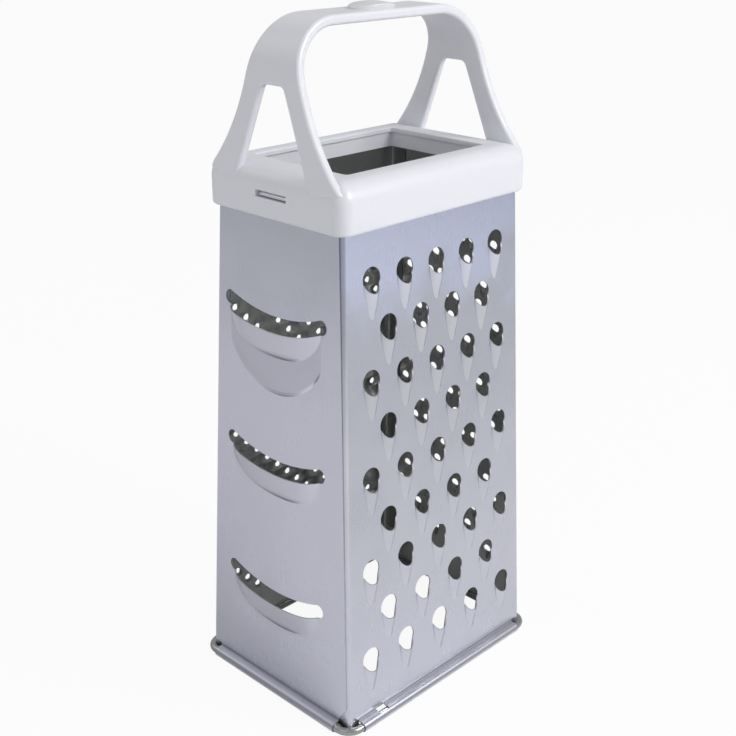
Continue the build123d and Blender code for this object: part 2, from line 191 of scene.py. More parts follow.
class MouldingSizes(bpy.types.PropertyGroup):
    """Sizes of the collar, the handle and its cap."""

    length: length("Collar length", 0.090, "Outer length of the collar")
    width: length("Collar width", 0.064, "Outer width of the collar")
    low: length("Collar foot", 0.1765, "Height of the collar's lower edge")
    top: length("Collar top", 0.1926, "Height of the collar's rim")
    corner: length("Collar corner", 0.005, "Plan radius of the collar's corners")
    edge: length("Collar edge", 0.0065, "Radius of the rounded edge on top")
    foot_edge: length("Collar foot edge", 0.0012, "Radius of the lower edge")
    skirt: length("Skirt", 0.0023, "Thickness of the collar's skirt")
    mouth_length: length("Mouth length", 0.0655, "Length of the opening in the collar")
    mouth_width: length("Mouth width", 0.043, "Width of the opening in the collar")
    window: length("Window", 0.0144, "Length of the snap windows")
    window_height: length("Window height", 0.0023, "Height of the snap windows")
    window_centre: length("Window centre", 0.1842, "Height of the snap windows' middle")
    handle_top: length("Handle top", HANDLE_TOP, "Height of the grip's upper face")
    wall: length("Strap", 0.0032, "Thickness of the handle's strap")
    lean: length("Handle lean", 0.0015, "How far each leg leans in on its way up")
    shoulder: length("Shoulder", 0.0189, "Radius of the handle's shoulders")
    grip_half: length("Grip half width", 0.0084, "Half of the grip's width")
    neck_half: length("Neck half width", 0.0112, "Half of a leg's width at its neck")
    neck_height: length("Neck height", 0.225, "Height of a leg's neck")
    foot_half: length("Foot half width", 0.031, "Half of a leg's width at its foot")
    soft_edge: length("Soft edge", 0.001, "Rounding along the handle's edges")
    cap_half: length("Cap half length", 0.0092, "Half of the cap's length")
    cap_width: length("Cap half width", 0.0057, "Half of the cap's width")
    cap_top: length("Cap top", CAP_TOP, "Height of the cap's crown")


class Finishes(bpy.types.PropertyGroup):
    """Colours of the finishes. Where the steel has colours for the foot, the middle and the top, they paint
    reflections and shade that change with height.
    """

    steel_wide: colour("Wide walls, foot", (0.70, 0.71, 0.785), "Steel of the two wide walls near the foot")
    steel_wide_middle: colour("Wide walls, middle", (0.472, 0.485, 0.545), "The same higher up")
    steel_wide_top: colour("Wide walls, top", (0.55, 0.585, 0.74), "The same near the collar")
    steel_narrow: colour("Narrow walls, foot", (0.68, 0.69, 0.78), "Steel of the two narrow walls near the foot")
    steel_narrow_middle: colour("Narrow walls, middle", (0.72, 0.72, 0.83), "The same half way up")
    steel_narrow_top: colour("Narrow walls, top", (0.60, 0.62, 0.70), "The same near the collar")
    steel_inside: colour("Inside", (0.62, 0.63, 0.62), "Duller steel of the walls' inner faces")
    steel_edge: colour("Cut edges", (0.46, 0.46, 0.48), "Sheared edges of holes and slots")
    # The side edges' colours paint shade that deepens towards the top.
    steel_side: colour("Side edges, foot", (0.70, 0.70, 0.78), "Upright edges of the narrow walls near the foot")
    steel_side_middle: colour("Side edges, middle", (0.46, 0.465, 0.53), "The same half way up")
    steel_side_top: colour("Side edges, top", (0.33, 0.345, 0.41), "The same near the collar")
    # Tint of the painted highlights on the steel.
    painted_highlight: colour("Painted highlight tint", (0.56, 0.56, 0.58), "Tint of the painted highlights on the steel")
    wire: colour("Wire", (0.43, 0.435, 0.43), "Steel of the wire ring")
    moulding: colour("Moulding", (0.80, 0.81, 0.86), "Plastic of the collar and handle")
    cap: colour("Cap", (0.74, 0.75, 0.77), "Plastic of the cap")


class StageSettings(bpy.types.PropertyGroup):
    """Camera, floor and light."""

    camera_x: length("Camera X", -0.2860, "Camera place along X")
    camera_y: length("Camera Y", -0.2779, "Camera place along Y")
    camera_z: length("Camera Z", 0.2753, "Camera height")
    azimuth: number("Azimuth", -45.72, "Angle round the object, degrees")
    elevation: number("Elevation", 22.07, "Angle above the horizon, degrees")
    roll: number("Roll", 0.22, "Camera roll, degrees")
    lens: number("Lens", 58.717, "Focal length in millimetres")
    lamp: number("Lamp", 7.2, "Power of the main soft lamp, watts")
    surroundings: number("Surroundings", 0.475, "Brightness of the surroundings")
    floor: colour("Floor", (0.86, 0.86, 0.87), "Colour of the floor")
    floor_size: length("Floor size", 6.0, "Side of the floor")


# Meshes


def join(*parts):
    """Points from their coordinates."""
    return np.stack(np.broadcast_arrays(*parts), axis=-1)


def grid_faces(rows, columns, start):
    """Quads of a grid whose first index runs up and whose second runs to the right."""
    index = np.arange(rows * columns).reshape(rows, columns) + start
    return join(index[:-1, :-1], index[:-1, 1:], index[1:, 1:], index[1:, :-1]).reshape(-1, 4)


class Quilt:
    """Patches of points, each a grid seen from outside, that are sewn into one mesh."""

    def __init__(self):
        self.points, self.faces, self.burnish, self.count = [], [], [], 0

    def add(self, patch, keep=None, burnish=0.0):
        """Adds one patch (rows, columns, 3) or a stack of them; keep drops quads by their centres.

        The last argument paints light and shade on the metal, a painted highlight above 0 and painted shade below
        0, as one number or as one for each point.
        """
        stack = patch.reshape(-1, *patch.shape[-3:])
        faces = grid_faces(stack.shape[1], stack.shape[2], self.count)
        steps = np.arange(len(stack)) * stack.shape[1] * stack.shape[2]
        faces = (faces[None] + steps[:, None, None]).reshape(-1, 4)
        points = stack.reshape(-1, 3)
        if keep is not None:
            faces = faces[keep(points[faces - self.count].mean(axis=1))]
        tone = np.broadcast_to(burnish, patch.shape[:-1]).reshape(-1)
        self.points.append(points)
        self.faces.append(faces)
        self.burnish.append(tone[faces - self.count].mean(axis=1))
        self.count += len(points)

    def mesh(self, name):
        """Sews the patches where their points meet; borders and angles over SHARP_ANGLE stay sharp."""
        mesh = bpy.data.meshes.new(name)
        mesh.from_pydata(np.concatenate(self.points).tolist(), [], np.concatenate(self.faces).tolist())
        burnish = mesh.attributes.new("burnish", "FLOAT", "FACE")
        burnish.data.foreach_set("value", np.concatenate(self.burnish))
        work = bmesh.new()
        work.from_mesh(mesh)
        bmesh.ops.remove_doubles(work, verts=work.verts, dist=8e-6)
        bmesh.ops.dissolve_degenerate(work, edges=work.edges, dist=1e-6)
        for face in work.faces:
            face.smooth = True
        for edge in work.edges:
            edge.smooth = len(edge.link_faces) == 2 and edge.calc_face_angle() <= SHARP_ANGLE
        work.to_mesh(mesh)
        work.free()
        return mesh


def add_object(name, data):
    """Adds an object to the scene, once."""
    if name in bpy.context.scene.objects:
        raise RuntimeError(f"{name} is in the scene already")
    added = bpy.data.objects.new(name, data)
    bpy.context.scene.collection.objects.link(added)
    return added


def show(mesh, material, node):
    """Puts a mesh in the scene in place of its CAD node."""
    if not mesh.polygons:
        raise RuntimeError(f"{mesh.name} has no faces")
    piece = add_object(mesh.name, mesh)
    mesh.materials.append(material)
    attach(piece, "root")
    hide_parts(node)
    return piece


def thicken(piece, thickness):
    """Gives an open surface a wall on its inner side."""
    solid = piece.modifiers.new("wall", "SOLIDIFY")
    solid.thickness = thickness
    solid.offset = -1.0
    solid.use_quality_normals = True
    return solid


def show_sheet(mesh, wall, node):
    """Shows a wall of sheet steel with its materials: outside, inside and cut edge.

    Faces with material index 3 have a second set of the three, whose cut edge takes the side steel: brighter than
    the other cut edges near the foot, with painted shade that deepens towards the top.
    """
    which = "wide" if wall.wide else "narrow"
    outside, inside = steel(which), steel("inside")
    piece = show(mesh, outside, node)
    for side in (inside, steel("edge"), outside, inside, steel("side")):
        mesh.materials.append(side)
    solid = thicken(piece, wall.body.sheet)
    solid.material_offset = 1
    solid.material_offset_rim = 2


def blend(first, second, share):
    """Points part of the way from one line of points to another, as a grid."""
    share = np.asarray(share)[:, None]
    return first[..., :, None, :] * (1 - share) + second[..., :, None, :] * share


def border(across, up):
    """Border of a cell from the middle of its foot, anticlockwise: places across (-1 to 1) and shares up."""
    half, side = np.linspace(0, 1, across // 2 + 1), np.ones(up)
    climb = np.linspace(0, 1, up + 1)
    place = np.concatenate([half, side, np.linspace(1, -1, across + 1)[1:], -side, half[1:] - 1])
    share = np.concatenate([0 * half, climb[1:], np.ones(across), climb[::-1][1:], 0 * half[1:]])
    return place, share


# Steel walls


class Wall:
    """One leaning wall: u runs right and v up the slope when seen from outside, h stands out."""

    def __init__(self, wide, far):
        body = bpy.context.scene.grater_body
        self.body, self.wide, self.turn = body, wide, -1.0 if far else 1.0
        self.ledge = 2 * (body.wire / 2 + body.wire_gap + body.sheet) - body.hem_flat
        rise = body.steel_top - self.ledge
        self.lean_x = (body.base_length - body.top_length) / 2 / rise
        self.lean_y = (body.base_width - body.top_width) / 2 / rise
        lean = self.lean_y if wide else self.lean_x
        self.slope = math.hypot(1, lean)
        self.v_notch, self.v_top = body.notch * self.slope, rise * self.slope
        self.half = (body.base_width if wide else body.base_length) / 2
        self.right = np.array([1.0, 0, 0] if wide else [0, -1.0, 0])
        self.away = np.array([0, -1.0, 0] if wide else [-1.0, 0, 0])
        self.origin = self.half * self.away + np.array([0, 0, self.ledge])
        self.out = (self.away + np.array([0, 0, lean])) / self.slope
        self.up = np.cross(self.out, self.right)

    def half_length(self, z):
        """Half of the steel's outer length at a height."""
        return self.body.base_length / 2 - (z - self.ledge) * self.lean_x

    def half_width(self, z):
        """Half of the steel's outer width at a height."""
        return self.body.base_width / 2 - (z - self.ledge) * self.lean_y

    def height(self, v):
        """Height above the floor of a place up the slope."""
        return self.ledge + v / self.slope

    def edge(self, v):
        """Half of the flat part's width: up to the corner bend."""
        z = self.height(v)
        if self.wide:
            return self.half_length(z) - self.body.sheet - self.body.bend
        return self.half_width(z) - self.body.bend

    def turned(self, points):
        """Points of a near wall, turned half round for a far one."""
        return points * np.array([self.turn, self.turn, 1.0])

    def place(self, u, v, h=0.0):
        """World points for wall coordinates."""
        u, v, h = np.broadcast_arrays(u, v, h)
        flat = u[..., None] * self.right + v[..., None] * self.up + h[..., None] * self.out
        return self.turned(self.origin + flat)

    def lay(self, points):
        """World points for wall points, as (..., uv) or (..., uvh)."""
        return self.place(*np.moveaxis(points, -1, 0))


@dataclass
class Lattice:
    """Staggered rows of cells on a wall. Columns draw together upwards; the end cells reach the bends.

    A row's lower border is below its holes' middles; it may wave, to dip round the points above it and
    rise over the holes below.
    """

    wall: Wall
    rows: int
    per_row: int
    first: float
    row_pitch: float
    low_pitch: float
    high_pitch: float
    below: float
    steps: int
    wave: float = 0.0

    def __post_init__(self):
        self.reach = self.per_row / 2
        self.columns = np.linspace(-self.reach, self.reach, self.per_row * self.steps + 1)

    def pitch(self, v):
        """Distance between two columns at a place up the wall."""
        share = (v - self.first) / (self.row_pitch * (self.rows - 1))
        return self.low_pitch + (self.high_pitch - self.low_pitch) * share

    def across(self, a, v):
        """Wall u of lattice column a: a fan inside, and a straight run to the bend at the ends."""
        a, v = np.broadcast_arrays(np.asarray(a, float), np.asarray(v, float))
        inner = self.reach - 0.5
        size = np.abs(a)
        fan = np.minimum(size, inner) * self.pitch(v)
        rest = np.clip(size - inner, 0, 0.5) / 0.5
        return np.sign(a) * (fan + rest * (self.wall.edge(v) - inner * self.pitch(v)))

    def cells(self, row):
        """Column numbers of the teeth in one row."""
        count = self.per_row - row % 2
        return np.arange(count) - (count - 1) / 2

    def centres(self, row):
        """Middles of a row's holes (cell, 1, uv)."""
        v = self.first + row * self.row_pitch
        return join(self.across(self.cells(row), v), v)[:, None]

    def line(self, row, a):
        """Height up the wall of a row's lower border at column a."""
        phase = 2 * math.pi * (a - (self.per_row - row % 2 - 1) / 2)
        return self.first + row * self.row_pitch - self.below - self.wave * np.cos(phase)

    def rims(self, row):
        """Closed borders of a row's cells (cell, point, uv)."""
        place, share = border(self.steps, self.steps)
        a = self.cells(row)[:, None] + place / 2
        low, high = self.line(row, a), self.line(row + 1, a)
        v = low + (high - low) * share
        return join(self.across(a, v), v)

    def fill_ends(self, quilt, row):
        """Adds plain patches at both ends of a shorter row."""
        climb = np.linspace(0, 1, self.steps + 1)[:, None]
        half = self.steps // 2
        for columns in (self.columns[: half + 1], self.columns[-half - 1 :]):
            low, high = self.line(row, columns), self.line(row + 1, columns)
            v = low + (high - low) * climb
            quilt.add(self.wall.place(self.across(columns[None], v), v))

    def fill(self, quilt, cell):
        """Fills the rows with what cell adds for a row, its holes' middles and its cells' borders."""
        for row in range(self.rows):
            cell(row, self.centres(row), self.rims(row))
            if row % 2:
                self.fill_ends(quilt, row)

    def ends(self):
        """Lines (u, v) under the lowest row and over the highest."""
        lines = [self.line(row, self.columns) for row in (0, self.rows)]
        return [(self.across(self.columns, v), v) for v in lines]

    def levels(self):
        """Places up the wall of the points along its bends, from the lowest row's foot to the top edge."""
        ends = [self.line(row, self.reach) for row in range(self.rows + 1)]
        runs = [np.linspace(low, high, self.steps, endpoint=False) for low, high in zip(ends[:-1], ends[1:])]
        return np.concatenate(runs + [np.linspace(ends[-1], self.wall.v_top, 9)])


@dataclass
class Tooth:
    """A hooded tooth.

    The hole's radius, the drop from its middle to the lip, the hood's rise across the hole, its run from
    the hole's middle to its point, and the hole's shift up from its row; then the quads across the hood
    and up it, and the rings of quads round the tooth.
    """

    radius: float
    drop: float
    rise: float
    run: float
    shift: float
    across: int
    climb: int
    rings: int


def cone_height(tooth, across, along):
    """Height of a tilted cone over the wall, at a distance along from a hood's point.

    The cone's lowest line runs level behind the wall and its highest climbs by rise over run,
    so its sections are circles and the wall cuts it along a parabola.
    """
    depth = tooth.radius**2 / tooth.rise
    top = tooth.rise * along / tooth.run
    return (top - depth) / 2 + np.sqrt(np.clip(((top + depth) / 2) ** 2 - across**2, 0, None))


def tooth_grid(tooth):
    """Grid (up, right, uvh) of a hood from its point to the lip, which the hole cuts.

    The hole is round above its middle and an oval, drop deep, below it.
    """
    run, drop = tooth.run, tooth.drop
    share = np.sin(np.linspace(-math.pi / 2, math.pi / 2, tooth.across + 1))[None]
    middle = 2 * run - share**2 * drop**2 / run
    lip = (middle - np.sqrt(middle**2 - 4 * (run**2 - drop**2))) / 2
    along = np.linspace(0, 1, tooth.climb + 1)[:, None] ** 2 * lip
    u = share * tooth.radius * np.sqrt(along / run)
    lift = cone_height(tooth, u, along)
    lift += FULLNESS * (tooth.rise * along / run * np.sqrt(1 - share**2) - lift)
    lift[:, [0, -1]] = 0
    return join(u, along - run + tooth.shift, lift)


def tooth_outline(tooth, hood, rim_steps):
    """Closed outline of a tooth in the wall: up the hood's right side, over the hole and down."""
    start = -math.asin(tooth.drop / tooth.run)
    arc = np.linspace(start, math.pi - start, rim_steps + 1)[1:-1]
    rise = np.where(np.sin(arc) < 0, tooth.drop, tooth.radius) * np.sin(arc)
    over = join(tooth.radius * np.cos(arc), tooth.shift + rise)
    return np.concatenate([hood[:, -1, :2], over, hood[::-1, 0, :2]])


def punch_teeth(quilt, lattice, tooth):
    """Fills the rows with hooded teeth, with painted light on the hoods that grows brighter from row to row and a
    line of painted shade along one side.
    """
    hood = tooth_grid(tooth)
    outline = tooth_outline(tooth, hood, 4 * lattice.steps - 2 * tooth.climb)
    rings = np.linspace(0, 1, tooth.rings + 1) ** 1.3
    tones = np.linspace(*HOOD_PAINTED_LIGHT, lattice.rows)

    def add_teeth(row, centres, rims):
        quilt.add(lattice.wall.lay(blend(outline + centres, rims, rings)))
        shine = np.full(hood.shape[:2], tones[row])
        shine[1:-1, -4:] = HOOD_EDGE_PAINTED_SHADE
        u, v = hood[..., 0] + centres[..., None, 0], hood[..., 1] + centres[..., None, 1]
        quilt.add(lattice.wall.place(u, v, hood[..., 2]), burnish=shine)

    lattice.fill(quilt, add_teeth)


def punch_craters(quilt, lattice, radius, rise):
    """Fills the rows with holes pushed outwards: the rim climbs towards the hole and ends in four points."""
    angle = np.linspace(-math.pi / 2, 1.5 * math.pi, 4 * lattice.steps + 1)
    ring = radius * join(np.cos(angle), np.sin(angle))
    lift = rise * join(0.75 + 0.25 * np.cos(4 * angle), 0.45, 0, 0)

    def add_craters(row, centres, rims):
        rings = [centres + size * ring for size in (1.0, 1.22, 1.6)]
        flat = np.stack(rings + [rims], axis=2)
        quilt.add(lattice.wall.place(flat[..., 0], flat[..., 1], lift))

    lattice.fill(quilt, add_craters)


def corner_path(wall, z, distance):
    """Plan points at a run along the right-hand corner: flat, then the bend, then the flange."""
    radius = wall.body.bend
    angle = np.clip(distance / radius, 0, math.pi / 2)
    x = wall.half_length(z) - wall.body.sheet - radius + radius * np.sin(angle) + np.minimum(distance, 0)
    y = radius - wall.half_width(z) - radius * np.cos(angle) + np.clip(distance - radius * math.pi / 2, 0, None)
    return join(x, y, z)


def both_corners(quilt, wall, patch, burnish=0.0):
    """Adds a patch of the right-hand corner and its mirror image on the left."""
    burnish = np.broadcast_to(burnish, patch.shape[:-1])
    quilt.add(wall.turned(patch), burnish=burnish)
    quilt.add(wall.turned(patch[:, ::-1] * MIRROR), burnish=burnish[:, ::-1])


def hem_profile(wall):
    """Points (out, up) of the hem from the wall over the ledge and round the wire."""
    body, small = wall.body, wall.body.hem_bend
    curl = body.wire / 2 + body.wire_gap + body.sheet
    fillet = np.linspace(math.pi, 1.5 * math.pi, 5)
    turn = np.radians(np.linspace(90, -160, 26))
    out = np.concatenate([small + small * np.cos(fillet), body.hem_reach + curl * np.cos(turn)])
    up = np.concatenate([wall.ledge + small + small * np.sin(fillet), wall.ledge - curl + curl * np.sin(turn)])
    return out, np.maximum(up, 0.0)


def plain_wall(quilt, wall, low, high, keep=None):
    """A wall's plain foot and top, and its hem, with painted shade along the foot and painted light and shade
    across the hem.

    low and high are the lines (u, v) where the teeth or slots begin and end; the hem's own even
    spacing is blended into the lower one.
    """
    body = wall.body
    half = (body.base_length if wall.wide else body.base_width) / 2 - body.hem_setback
    hem = np.linspace(-half, half, len(low[0]))
    u, v = hem + (low[0] - hem) * FOOT_SHARES, wall.v_notch + (low[1] - wall.v_notch) * FOOT_SHARES
    # Painted shade along the wall's lowest row, where it meets the hem.
    quilt.add(wall.place(u, v), burnish=np.where(FOOT_SHARES == 0, FOOT_PAINTED_SHADE, 0.0))
    v = high[1] + (wall.v_top - high[1]) * np.linspace(0, 1, 9)[:, None]
    quilt.add(wall.place(high[0] * wall.edge(v) / wall.edge(high[1]), v))

    out, up = (part[:, None, None] for part in hem_profile(wall))
    curl = hem[:, None] * wall.right + (wall.half + out) * wall.away + up * np.array([0, 0, 1.0])
    rows = np.concatenate([wall.place(hem, wall.v_notch)[None], wall.turned(curl)])
    # Painted light and shade across the hem: painted shade over the bend and ledge, a painted highlight low on
    # the curl.
    shine = np.interp(np.arange(len(rows)), HEM_ROWS, HEM_PAINTED_LIGHT)
    quilt.add(rows[::-1], keep, shine[::-1, None])


def bends(quilt, wall, levels):
    """The bent corners and flanges of a wide wall with their painted light and shade, and the tongues between the
    relief notches.
    """
    body = wall.body
    arc = body.bend * math.pi / 2
    around = np.concatenate([np.linspace(0, arc, 9), arc + np.linspace(0, body.flange, 4)[1:]])
    z = wall.height(levels)[:, None]
    # Painted light and shade on the bends that changes with height, and painted shade on the flanges behind them.
    tone = np.interp(z, BEND_HEIGHTS, BEND_PAINTED_LIGHT) * np.clip(around / (arc / 4), 0, 1)
    both_corners(quilt, wall, corner_path(wall, z, around[None]), np.where(around > arc, FLANGE_PAINTED_SHADE, tone))

    # Foot of the bends: a strip of flat wall, lead wide, closes the gap to the plain wall's foot.
    v = wall.v_notch + (levels[0] - wall.v_notch) * FOOT_SHARES
    edge = wall.edge(v)
    start = body.base_length / 2 - body.hem_setback
    gap = edge - start - (edge[-1] - start) * FOOT_SHARES
    lead = -gap * (1 - np.linspace(0, 1, 4)[None])
    run = np.concatenate([lead, np.broadcast_to(around[1:], (len(v), len(around) - 1))], axis=1)
    both_corners(quilt, wall, corner_path(wall, wall.height(v), run))

    # Tongue: the bend's own run narrows to a quarter at the tip; the sheet beside it goes on, darkened to paint
    # the shade in the relief notches.
    climb = np.linspace(0, 1, 6)[:, None]
    top = run[:1]
    tongue = arc / 2 + (np.clip(top, 0, arc) - arc / 2) * (0.25 + 0.75 * climb)
    side = np.where(top < 0, top / top[0, 0], (top - arc) / body.flange)
    far_side = np.where(top < 0, top[0, 0], arc + body.flange)
    run = np.where((top < 0) | (top > arc), tongue + (far_side - tongue) * side, tongue)
    tone = np.where((top < 0) | (top > arc + 1e-9), NOTCH_PAINTED_SHADE, 0.0)
    z = body.tongue_tip + (wall.height(wall.v_notch) - body.tongue_tip) * climb
    both_corners(quilt, wall, corner_path(wall, z, run), tone)


def outside(low, high):
    """A test that keeps quads whose centres are outside a box."""
    return lambda centres: ~((centres > low) & (centres < high)).all(axis=1)


def outside_drain(wall):
    """Keeps the coarse wall's hem but for a short slot across its ledge."""
    low, high = wall.ledge + DRAIN_HEIGHTS[0], wall.ledge + DRAIN_HEIGHTS[1]
    return outside((DRAIN_ENDS[0], -wall.half - DRAIN_REACH, low), (DRAIN_ENDS[1], 0.0, high))


class GRATER_OT_wide_walls(bpy.types.Operator):
    """Wide walls: one with coarse hooded teeth, one with fine torn holes."""

    bl_idname = "grater.wide_walls"
    bl_label = "Wide walls"

    def execute(self, context):
        sizes = context.scene.grater_teeth
        for name, far, rows in (("coarse", False, COARSE_ROWS), ("fine", True, FINE_ROWS)):
            wall, quilt = Wall(True, far), Quilt()
            lattice = Lattice(wall, **rows)
            if far:
                punch_craters(quilt, lattice, sizes.fine_radius, sizes.fine_rise)
            else:
                tooth = (sizes.coarse_radius, sizes.coarse_drop, sizes.coarse_rise, sizes.coarse_run)
                punch_teeth(quilt, lattice, Tooth(*tooth, shift=0.0005, across=20, climb=9, rings=3))
            plain_wall(quilt, wall, *lattice.ends(), None if far else outside_drain(wall))
            bends(quilt, wall, lattice.levels())
            show_sheet(quilt.mesh(name + "_wall"), wall, name + "_panel")
        return {"FINISHED"}


def mark_sides(mesh, wall, v_low):
    """Gives the faces along the upright sides of a narrow wall material index 3."""
    body = wall.body
    points = np.empty(3 * len(mesh.vertices), dtype=np.float32)
    mesh.vertices.foreach_get("co", points)
    x, y, z = points.reshape(-1, 3).T
    start = body.base_width / 2 - body.hem_setback
    share = np.clip(((z - wall.ledge) * wall.slope - body.notch) / (v_low - body.notch), 0, 1)
    side = np.minimum(wall.half_width(z) - body.bend, start + (wall.edge(v_low) - start) * share)
    at_side = (np.abs(y) > side - 3e-5) & (np.abs(x) > wall.half_length(z) - 1e-4)
    corners = np.empty(len(mesh.loops), dtype=np.int32)
    mesh.loops.foreach_get("vertex_index", corners)
    sizes = np.empty(len(mesh.polygons), dtype=np.int32)
    mesh.polygons.foreach_get("loop_total", sizes)
    owners = np.repeat(np.arange(len(sizes)), sizes)
    touching = np.bincount(owners, weights=at_side[corners]) > 1
    mesh.polygons.foreach_set("material_index", np.where(touching, 3, 0).astype(np.int32))


def snap_tab(wall):
    """Grid of the lanced strip that leans out into the collar's window."""
    moulding = bpy.context.scene.grater_moulding
    gap, reach = 0.0004, 0.0017
    middle, half_height = moulding.window_centre - wall.ledge, moulding.window_height / 2 - gap
    low, high = (middle - half_height) * wall.slope, (middle + half_height) * wall.slope
    turn = np.linspace(0, math.pi / 2, 9)[:, None]
    u = np.linspace(-1, 1, 9) * (moulding.window / 2 - gap)
    return wall.place(u, low + (high - low) * np.sin(turn), reach * np.cos(turn))


def slot_lines(sizes, boss):
    """Lines (point, uvh) across a slot: upper edge, lip, crease and the boss's foot.

    All share one spacing, closer at the ends. The lip stands out over nearly its whole length,
    the crease dips below it like a flat bowl, and the boss's foot is an arc of a circle.
    """
    share = np.sin(np.linspace(-math.pi / 2, math.pi / 2, SLOT_STEPS + 1))
    u = share * sizes.slot_half
    fade = 1 - share**10
    lift = sizes.boss_rise if boss else 0.0
    high = sizes.slot_radius - np.sqrt(sizes.slot_radius**2 - u**2)
    lip = sizes.lip_radius - np.sqrt(sizes.lip_radius**2 - u**2) - sizes.slot_gap
    crease = lip - sizes.blade_height * np.sqrt(np.clip(1 - share**4, 0, 1))
    foot = np.minimum(-sizes.slot_gap / 2 - np.sqrt(sizes.boss_radius**2 - u**2), crease)
    heights = (0, (lift + sizes.blade_rise) * fade, lift * fade, 0)
    return [join(u, v, h) for v, h in zip((high, lip, crease, foot), heights)]


def mark(share, low, high, lean=2):
    """A soft bump that is 1 at lean / (lean + 1) of the way from low to high and 0 outside them."""
    place = np.clip((share - low) / (high - low), 0, 1)
    return place**lean * (1 - place) * (lean + 1) * ((lean + 1) / lean) ** lean


def slot_end(high, low):
    """Half a circle that bulges out at a slot's end, anticlockwise round the slot."""
    middle = (high[:2] + low[:2]) / 2
    radius = np.linalg.norm(high[:2] - low[:2]) / 2
    angle = np.linspace(-math.pi / 2, math.pi / 2, 9)
    side = np.sign(middle[0])
    points = middle + radius * join(side * np.cos(angle), np.sin(angle))
    return points if side > 0 else points[::-1]


def slot_cell(quilt, wall, low, high, boss):
    """One slot with its blade, in a cell from low to high that fills the wall from edge to edge."""
    sizes = bpy.context.scene.grater_teeth
    shift = np.array([SLOT_SHIFT, low + SLOT_BELOW, 0.0])
    top, lip, crease, foot = slot_lines(sizes, boss)
    base = foot if boss else crease
    half, shared = SLOT_STEPS // 2, 0 if boss else 1
    parts = [
        base[half:, :2],
        slot_end(top[-1], lip[-1])[shared:],
        top[::-1][1:, :2],
        slot_end(top[0], lip[0])[1:],
        base[shared : half + 1, :2],
    ]
    outline = np.concatenate(parts) + shift[:2]
    place, share = border(SLOT_STEPS, (len(outline) - 1) // 2 - SLOT_STEPS)
    u = place * (wall.edge(low) + (wall.edge(high) - wall.edge(low)) * share)
    rim = join(u, low + (high - low) * share)
    quilt.add(wall.lay(blend(outline, rim, np.linspace(0, 1, 9) ** 1.2)))

    # Blade, with painted light on it and a painted shade line along the crease.
    climb = np.concatenate([[0.0, 0.05], np.linspace(0.12, 1, 9)])[:, None, None]
    share = top[:, 0] / sizes.slot_half
    shine = np.tile(BLADE_PAINTED_LIGHT * (1 - share**4), (len(climb), 1))
    shine[:2] = CREASE_PAINTED_SHADE * mark(share, -1.0, 0.62, 3)
    shine[2] += 0.5 * shine[1]
    quilt.add(wall.lay(crease + (lip - crease) * climb + shift), burnish=shine)
    if boss:
        # The boss swells from its foot, with painted shade on the left and at the far right, a painted highlight
        # between, and faint painted shade over the rest.
        swell = foot + (crease - foot) * climb
        swell[..., 2] = crease[:, 2] * np.sin(climb[..., 0] * math.pi / 2)
        shine[:] = BOSS_PAINTED_SHADE
        shine[:2] = 1.6 * mark(share, 0.5, 0.9) - 1.8 * mark(share, -0.5, 0.55) - 2.6 * mark(share, 0.8, 1.0)
        quilt.add(wall.lay(swell + shift), burnish=shine)


def finish_narrow(quilt, wall, name, node, low, high):
    """Adds a narrow wall's foot, top, hem and snap tab, and shows it."""
    plain_wall(quilt, wall, low, high)
    # The snap tab carries a painted highlight.
    quilt.add(snap_tab(wall), burnish=TAB_PAINTED_HIGHLIGHT)
    mesh = quilt.mesh(name)
    mark_sides(mesh, wall, low[1][0])
    show_sheet(mesh, wall, node)


class GRATER_OT_narrow_walls(bpy.types.Operator):
    """Narrow walls: one with three slicing slots and their raised blades, one with small hooded teeth."""

    bl_idname = "grater.narrow_walls"
    bl_label = "Narrow walls"

    def execute(self, context):
        wall, quilt = Wall(False, False), Quilt()
        borders = SLOT_FIRST - SLOT_BELOW + SLOT_PITCH * np.arange(SLOT_COUNT + 1)
        for low, high in zip(borders[:-1], borders[1:]):
            slot_cell(quilt, wall, low, high, boss=high == borders[-1])
        columns = np.linspace(-1, 1, SLOT_STEPS + 1)
        ends = [(columns * wall.edge(v), np.full_like(columns, v)) for v in borders[[0, -1]]]
        finish_narrow(quilt, wall, "slicing_wall", "slicer_panel", *ends)

        sizes = context.scene.grater_teeth
        wall, quilt = Wall(False, True), Quilt()
        lattice = Lattice(wall, **SMALL_ROWS)
        tooth = (sizes.small_radius, sizes.small_radius, sizes.small_rise, sizes.small_run)
        punch_teeth(quilt, lattice, Tooth(*tooth, shift=0.0, across=6, climb=3, rings=2))
        finish_narrow(quilt, wall, "small_tooth_wall", "small_tooth_panel", *lattice.ends())
        return {"FINISHED"}


# Wire, collar, handle and cap


def plan_ring(half_x, half_y, radius, x_stations, y_stations, corner_steps):
    """Closed plan outline (point, xy), anticlockwise from the left end of the straight side at -Y."""
    angle = np.linspace(0, math.pi / 2, corner_steps + 1)
    points = []
    for turn in range(4):
        along_x = turn % 2 == 0
        reach, away = (half_x - radius, half_y) if along_x else (half_y - radius, half_x)
        run = np.concatenate([[-reach], x_stations if along_x else y_stations, [reach]])
        arc = join(reach + radius * np.sin(angle), -away + radius - radius * np.cos(angle))[1:-1]
        c, s = round(math.cos(turn * math.pi / 2)), round(math.sin(turn * math.pi / 2))
        points.append(np.concatenate([join(run, -away), arc]) @ np.array([[c, s], [-s, c]]))
    return np.concatenate(points + [points[0][:1]])


def stacked_rings(rings, heights):
    """Rows of points (row, point, xyz) from plan outlines and their heights."""
    return np.stack([join(*ring.T, z) for ring, z in zip(rings, heights)])


